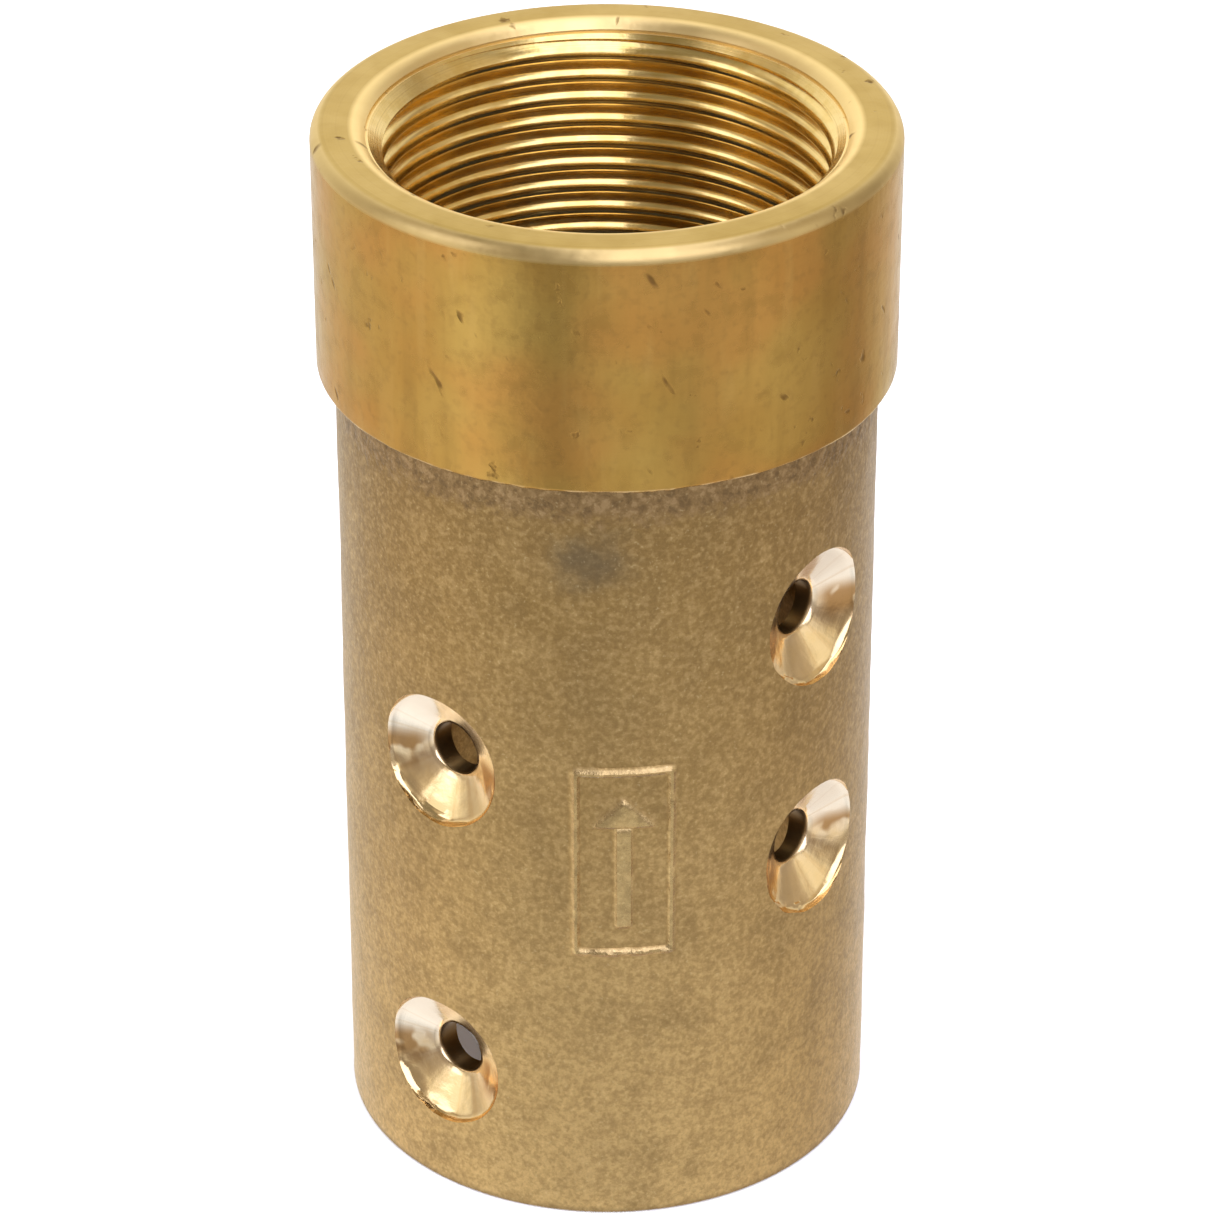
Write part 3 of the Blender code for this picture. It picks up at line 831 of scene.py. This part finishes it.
def turned_brass():
    """Turned on a lathe: rings, heat tint, pits, nicks, a bright chamfer; painted reflections and edge
    highlights.
    """
    values = {"Metallic": 1.0, "Specular_Tint": TURNED_EDGE_TINT}
    material, nodes, shader, place = new_material("turned_brass", **values)
    x, y, height = nodes.split(place)
    rings = nodes.noise(nodes.join(nodes.length(x, y), 0.0, height), 0.28, 2.0, 0.7)
    cloud = nodes.noise(place, 9.0, 3.0)
    heat = nodes.noise(place, 14.0, 2.0)
    patch = nodes.noise(place, 2.2, 3.0)
    mottle = nodes.noise(place, 0.9, 2.0)
    pits = nodes.fade(nodes.noise(place, 2.5, 3.0, 0.6), 0.655, 0.75)
    around = nodes.math("MULTIPLY", nodes.azimuth(x, y), cad_radius / MM)
    slant = nodes.math("ADD", nodes.math("MULTIPLY", around, 0.8), nodes.math("MULTIPLY", height, 0.6))
    rise = nodes.math("SUBTRACT", nodes.math("MULTIPLY", height, 0.3), nodes.math("MULTIPLY", around, 0.25))
    nicks = nodes.fade(nodes.noise(nodes.join(slant, rise, 0.0), 1.6, 2.0), 0.68, 0.77)
    top = cad_height / MM
    faced = nodes.fade(height, top - 0.15, top - 0.02)
    nicks = nodes.math("MULTIPLY", nicks, nodes.math("SUBTRACT", 1.0, faced))
    wounds = nodes.math("MAXIMUM", pits, nicks)

    colour = nodes.mix(nodes.fade(cloud, 0.35, 0.68), TURNED_LIGHT, TURNED_DARK)
    colour = nodes.tint(colour, heat, 0.46, 0.66, 0.5, HEAT_TINT)
    colour = nodes.tint(colour, patch, 0.50, 0.75, 0.35, TURNED_PATCH)
    colour = nodes.tint(colour, mottle, 0.48, 0.76, 0.26, TURNED_MOTTLE)
    # Painted reflections: tall light and dark streaks round the collar stand in for the bands a turned
    # surface reflects
    reflection_streaks = nodes.noise(nodes.join(around, nodes.math("MULTIPLY", height, 0.12), 0.0), 2.2, 3.0)
    colour = nodes.tint(colour, reflection_streaks, 0.52, 0.70, 0.30, REFLECTION_STREAK_DARK)
    colour = nodes.tint(colour, reflection_streaks, 0.46, 0.32, 0.22, REFLECTION_STREAK_LIGHT)
    # Painted highlight: the collar's rounded top edge is paler, standing in for the lamps' reflection on it
    edge = nodes.fade(height, top - 1.4, top - 1.0)
    colour = nodes.mix(edge, colour, TOP_EDGE_HIGHLIGHT)
    mouth_line = MOUTH_RADIUS / MM
    mouth = nodes.fade(nodes.length(x, y), mouth_line + 0.8, mouth_line + 0.1)
    face_colour = nodes.mix(nodes.fade(cloud, 0.35, 0.65), FACE_LIGHT, FACE_DARK)
    face_colour = nodes.tint(face_colour, rings, 0.5, 0.7, 0.35, FACE_RING)
    colour = nodes.mix(faced, colour, face_colour)
    colour = nodes.mix(mouth, colour, CHAMFER_BRIGHT)
    colour = nodes.mix(nodes.math("MULTIPLY", wounds, 0.75), colour, WOUND_BROWN)
    # Painted highlight: a thin bright line on the burred lower edge of the collar, broken up by noise
    collar_bottom = (cad_height - COLLAR_LENGTH) / MM
    burr_highlight = nodes.fade(height, collar_bottom + 0.10, collar_bottom + 0.30, 1.0, 0.0)
    burr_highlight = nodes.math("MULTIPLY", burr_highlight, nodes.fade(height, collar_bottom - 1.0, collar_bottom - 0.5))
    burr_highlight = nodes.math("MULTIPLY", burr_highlight, nodes.fade(patch, 0.42, 0.62))
    colour = nodes.mix(burr_highlight, colour, BURR_HIGHLIGHT)
    wear = nodes.fade(patch, 0.3, 0.8, 0.20, 0.31)
    scuffs = nodes.math("ADD", nodes.math("MULTIPLY", wounds, 0.3), nodes.math("MULTIPLY", edge, 0.14))
    roughness = nodes.math("ADD", wear, scuffs)
    ring_bump = nodes.bump(rings, 0.010 * MM)
    mottle_bump = nodes.bump(mottle, 0.02 * MM, ring_bump)
    normal = nodes.bump(wounds, -0.05 * MM, mottle_bump)
    connect(nodes, shader, colour, roughness, normal)
    groove(nodes, shader, 0.5)
    return material


def threaded_brass():
    """Freshly tapped metal: bright, with fine lines drawn along the thread."""
    material, nodes, shader, place = new_material("threaded_brass", Metallic=1.0)
    x, y, height = nodes.split(place)
    lines = nodes.noise(nodes.join(nodes.length(x, y), 0.0, height), 0.12, 2.0, 0.6)
    patch = nodes.noise(place, 1.6, 3.0)
    colour = nodes.mix(nodes.fade(patch, 0.4, 0.7), THREAD_LIGHT, THREAD_DARK)
    colour = nodes.tint(colour, lines, 0.5, 0.72, 0.3, THREAD_LINE)
    roughness = nodes.fade(lines, 0.3, 0.7, 0.14, 0.24)
    normal = nodes.bump(lines, 0.008 * MM, nodes.bump(patch, 0.02 * MM))
    connect(nodes, shader, colour, roughness, normal)
    groove(nodes, shader, 0.6)
    return material


def drilled_brass():
    """Freshly drilled pale metal; painted reflections in the cone, golden low; painted shade at its sides
    and hole.
    """
    material, nodes, shader, place = new_material("drilled_brass", Metallic=1.0)
    drill = nodes.add("ShaderNodeAttribute", {}, attribute_name="drill_place")
    across, up, _ = nodes.split(nodes.scaled(drill.outputs["Vector"], 1 / MM))
    radius = nodes.length(across, up)
    turn = nodes.join(nodes.math("DIVIDE", across, radius), nodes.math("DIVIDE", up, radius), 0.0)
    rings = nodes.noise(nodes.join(radius, 0.0, 0.0), 0.2, 2.0, 0.6)
    streaks = nodes.noise(turn, 0.22, 2.0)
    patch = nodes.noise(place, 1.2, 3.0)
    hole = nodes.fade(radius, 2.46, 2.6, 1.0, 0.0)
    # Painted reflections: the cone is golden low down and paler high up, standing in for what it reflects
    low = nodes.fade(up, 1.0, -4.0)
    high = nodes.fade(up, -1.0, 2.0, 0.0, 0.85)
    colour = nodes.mix(nodes.fade(patch, 0.35, 0.7), DRILLED_LIGHT, DRILLED_DARK)
    colour = nodes.mix(high, colour, DRILLED_HIGH_REFLECTION)
    colour = nodes.mix(nodes.math("MULTIPLY", low, 0.8), colour, DRILLED_LOW_REFLECTION)
    colour = nodes.tint(colour, streaks, 0.52, 0.72, 0.35, DRILLED_STREAK)
    # Painted shade at each cone's sides, broken up by a cloudy noise
    beside = nodes.fade(nodes.math("ABSOLUTE", across), 2.2, 4.2)
    level = nodes.window(up, -2.6, 0.6, 1.2, 0.9)
    cloud = nodes.fade(nodes.noise(place, 3.0, 2.0), 0.38, 0.50)
    side_shade = nodes.math("MULTIPLY", nodes.math("MULTIPLY", beside, level), cloud)
    colour = nodes.mix(nodes.math("MULTIPLY", side_shade, 0.9), colour, DRILLED_SIDE_SHADE)
    # Painted shade: the wall of the thin screw hole is darkened
    colour = nodes.mix(nodes.math("MULTIPLY", hole, 0.94), colour, HOLE_SHADE)
    polish = nodes.fade(rings, 0.3, 0.7, 0.12, 0.20)
    roughness = nodes.math("ADD", polish, nodes.math("MULTIPLY", hole, 0.25))
    ring_bump = nodes.bump(rings, 0.003 * MM)
    streak_bump = nodes.bump(streaks, 0.010 * MM, ring_bump)
    ripple = nodes.math("MULTIPLY", patch, nodes.fade(up, 1.5, -3.0, 0.5, 2.0))
    normal = nodes.bump(ripple, 0.016 * MM, streak_bump)
    connect(nodes, shader, colour, roughness, normal)
    return material


def washer_rubber():
    """Moulded black rubber with a dull bloom and grit in its face."""
    material, nodes, shader, place = new_material("washer_rubber", Metallic=0.0, Specular_IOR_Level=0.35)
    bloom = nodes.noise(place, 5.0, 4.0)
    grain = nodes.noise(place, 0.35, 3.0, 0.6)
    grit = nodes.noise(place, 0.5, 1.0)
    colour = nodes.mix(nodes.fade(bloom, 0.35, 0.7), RUBBER_BLACK, RUBBER_BLOOM)
    colour = nodes.tint(colour, grit, 0.72, 0.78, 0.6, RUBBER_GRIT)
    roughness = nodes.fade(bloom, 0.3, 0.75, 0.55, 0.85)
    normal = nodes.bump(grain, 0.05 * MM, nodes.bump(bloom, 0.08 * MM))
    connect(nodes, shader, colour, roughness, normal)
    return material


# ---------------------------------------------------------------- studio

CAMERA_LENS = 150.0
SENSOR_WIDTH = 36.0
CAMERA_TARGET_HEIGHT = 50.84 * MM
CAMERA_DISTANCE = 464.7 * MM
CAMERA_ELEVATION = math.radians(30.49)
FLOOR_HALF_WIDTH = 3.0
FLOOR_GAP = 0.02 * MM               # keeps the table clear of the holder's foot
FLOOR_COLOUR = (0.96, 0.98, 1.0)

# What the brass sees round it below the horizon: (azimuth in degrees, grey, warmth)
LOWER_TONES = (
    (-180, 1.00, 0.00),
    (-156, 1.00, 0.00),
    (-130, 1.04, 0.02),
    (-110, 1.05, 0.08),
    (-90, 1.10, 0.10),
    (-70, 1.14, 0.04),
    (-56, 1.36, 0.00),
    (-44, 1.18, 0.00),
    (-32, 0.78, 0.00),
    (-20, 0.52, 0.02),
    (-10, 0.74, 0.00),
    (0, 0.92, 0.00),
    (12, 0.98, 0.00),
    (24, 0.87, 0.00),
    (40, 0.82, 0.02),
    (60, 1.00, 0.04),
    (80, 0.78, 0.08),
    (100, 0.60, 0.12),
    (118, 0.63, 0.12),
    (140, 0.93, 0.04),
    (160, 1.00, 0.00),
    (180, 1.00, 0.00),
)

# The same round the horizon, up to a third of the way to the zenith
UPPER_TONES = (
    (-180, 1.50, 0.00),
    (-140, 1.20, 0.00),
    (-112, 0.80, 0.05),
    (-96, 0.55, 0.10),
    (-80, 1.25, 0.00),
    (-58, 1.15, 0.03),
    (-46, 0.55, 0.10),
    (-34, 0.40, 0.12),
    (-14, 0.30, 0.12),
    (0, 0.45, 0.05),
    (40, 0.45, 0.08),
    (56, 0.32, 0.15),
    (68, 1.00, 0.03),
    (80, 1.10, 0.03),
    (94, 0.55, 0.12),
    (116, 0.40, 0.12),
    (136, 0.85, 0.03),
    (156, 1.30, 0.00),
    (180, 1.50, 0.00),
)

BACKDROP_COLOUR = (1.0, 1.0, 1.0)   # what the camera sees past the table
NADIR_COLOUR = (0.98, 0.92, 0.88)
CEILING_COLOUR = (0.27, 0.245, 0.20)
CEILING_SIDE_COLOUR = (0.64, 0.56, 0.46)
LAMP_COLOUR = (2.3, 2.35, 2.9)

# Soft lamps above the horizon: (share, left, right, soft left, soft right, lowest and highest z)
LAMPS = (
    (1.0, -9, 54, 1.5, 7, 0.18, 0.88),
    (0.8, -79, -54, 4.0, 6, 0.18, 0.76),
)
LAMP_SOFT_ENDS = (0.07, 0.06)

# Where parts of the dome fade in, by x, y or z of the unit direction
NADIR_Z = (-0.72, -0.92)
HORIZON_Z = (-0.36, -0.16)
CEILING_Z = (0.40, 0.62)
CEILING_Y = (0.48, 0.18)
CEILING_RIGHT_X = (0.42, 0.60)
CEILING_LEFT_X = (-0.78, -0.50, 0.04, 0.08)
HIGH_LAMP_X = (-0.10, 0.37, 0.03, 0.07)
HIGH_LAMP_Y = (0.46, 0.30)
HIGH_LAMP_Z = (0.82, 0.90)

KEY_LAMP_PLACE = (-0.3, -0.4, 1.4)
KEY_LAMP_SIZE = 1.6
KEY_LAMP_WATTS = 16.0


def tone_ramp(nodes, azimuth, tones):
    """Colour by direction round the object."""
    share = nodes.math("ADD", nodes.math("DIVIDE", azimuth, 2 * math.pi), 0.5)
    ramp = nodes.add("ShaderNodeValToRGB", {0: share})
    elements = ramp.color_ramp.elements
    while len(elements) > 1:
        elements.remove(elements[-1])
    for index, (degrees, grey, warmth) in enumerate(tones):
        position = degrees / 360 + 0.5
        element = elements[0] if index == 0 else elements.new(position)
        element.position = position
        element.color = (grey, grey * (1 - warmth), grey * (1 - 1.6 * warmth), 1.0)
    return ramp.outputs[0]


def make_world():
    """Soft dome that the brass reflects, with lamps in front, at the left and high up.

    The camera sees the plain backdrop instead of the dome.
    """
    world = bpy.data.worlds.new("studio")
    bpy.context.scene.world = world
    world.use_nodes = True
    nodes = Nodes(world.node_tree)
    direction = nodes.add("ShaderNodeTexCoord", {}).outputs["Generated"]
    x, y, z = nodes.split(direction)
    azimuth = nodes.azimuth(x, y)
    low = tone_ramp(nodes, azimuth, LOWER_TONES)
    low = nodes.mix(nodes.fade(z, *NADIR_Z), low, NADIR_COLOUR)
    colour = nodes.mix(nodes.fade(z, *HORIZON_Z), low, tone_ramp(nodes, azimuth, UPPER_TONES))
    beside = nodes.math("MAXIMUM", nodes.fade(x, *CEILING_RIGHT_X), nodes.window(x, *CEILING_LEFT_X))
    ceiling = nodes.mix(beside, CEILING_COLOUR, CEILING_SIDE_COLOUR)
    overhead = nodes.math("MULTIPLY", nodes.fade(z, *CEILING_Z), nodes.fade(y, *CEILING_Y))
    colour = nodes.mix(overhead, colour, ceiling)
    for share, left, right, soft_left, soft_right, bottom, top in LAMPS:
        width = nodes.window(azimuth, *(math.radians(a) for a in (left, right, soft_left, soft_right)))
        lamp = nodes.math("MULTIPLY", width, nodes.window(z, bottom, top, *LAMP_SOFT_ENDS))
        colour = nodes.mix(nodes.math("MULTIPLY", lamp, share), colour, LAMP_COLOUR)
    lamp = nodes.math("MULTIPLY", nodes.window(x, *HIGH_LAMP_X), nodes.fade(z, *HIGH_LAMP_Z))
    lamp = nodes.math("MULTIPLY", lamp, nodes.fade(y, *HIGH_LAMP_Y))
    colour = nodes.mix(lamp, colour, LAMP_COLOUR)
    seen = nodes.add("ShaderNodeLightPath", {}).outputs["Is Camera Ray"]
    colour = nodes.mix(seen, colour, BACKDROP_COLOUR)
    background = world.node_tree.nodes["Background"]
    world.node_tree.links.new(colour, background.inputs["Color"])
    background.inputs["Strength"].default_value = 1.0


def make_floor():
    """Plain pale table. The brass sees the dome through it, so the table only shows to the camera."""
    mesh = bpy.data.meshes.new("floor")
    half = FLOOR_HALF_WIDTH
    corners = [(-half, -half, 0), (half, -half, 0), (half, half, 0), (-half, half, 0)]
    mesh.from_pydata(corners, [], [(0, 1, 2, 3)])
    values = {"Base_Color": (*FLOOR_COLOUR, 1.0), "Specular_IOR_Level": 0.0, "Roughness": 1.0}
    material, *_ = new_material("floor_white", **values)
    mesh.materials.append(material)
    floor = bpy.data.objects.new("floor", mesh)
    bpy.context.scene.collection.objects.link(floor)
    floor.location.z = -FLOOR_GAP
    floor.visible_glossy = False
    floor.visible_shadow = False


def make_lamp(name, place, size, power):
    """Large soft lamp that lights the table and the rubber, but doesn't show in the brass."""
    light = bpy.data.lights.new(name, "AREA")
    light.size = size
    light.energy = power
    lamp = bpy.data.objects.new(name, light)
    bpy.context.scene.collection.objects.link(lamp)
    lamp.location = place
    lamp.rotation_euler = (-Vector(place)).to_track_quat("-Z", "Y").to_euler()
    lamp.visible_glossy = False
    lamp.visible_camera = False


def make_camera():
    camera = bpy.data.objects.new("camera", bpy.data.cameras.new("camera"))
    bpy.context.scene.collection.objects.link(camera)
    camera.data.lens = CAMERA_LENS
    camera.data.sensor_width = SENSOR_WIDTH
    back = Vector((0, -math.cos(CAMERA_ELEVATION), math.sin(CAMERA_ELEVATION)))
    camera.location = back * CAMERA_DISTANCE + Vector((0, 0, CAMERA_TARGET_HEIGHT))
    camera.rotation_euler = (math.pi / 2 - CAMERA_ELEVATION, 0, 0)
    bpy.context.scene.camera = camera


# ---------------------------------------------------------------- the scene

holder_piece = make_holder([cast_brass(), turned_brass(), threaded_brass(), drilled_brass()])
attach(holder_piece, "holder")
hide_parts("holder_body")

washer_piece = make_washer(washer_rubber())
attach(washer_piece, "washer")
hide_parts("nozzle_washer")

bpy.context.scene.view_settings.view_transform = "Standard"
make_world()
make_floor()
make_lamp("key_lamp", KEY_LAMP_PLACE, KEY_LAMP_SIZE, KEY_LAMP_WATTS)
make_camera()
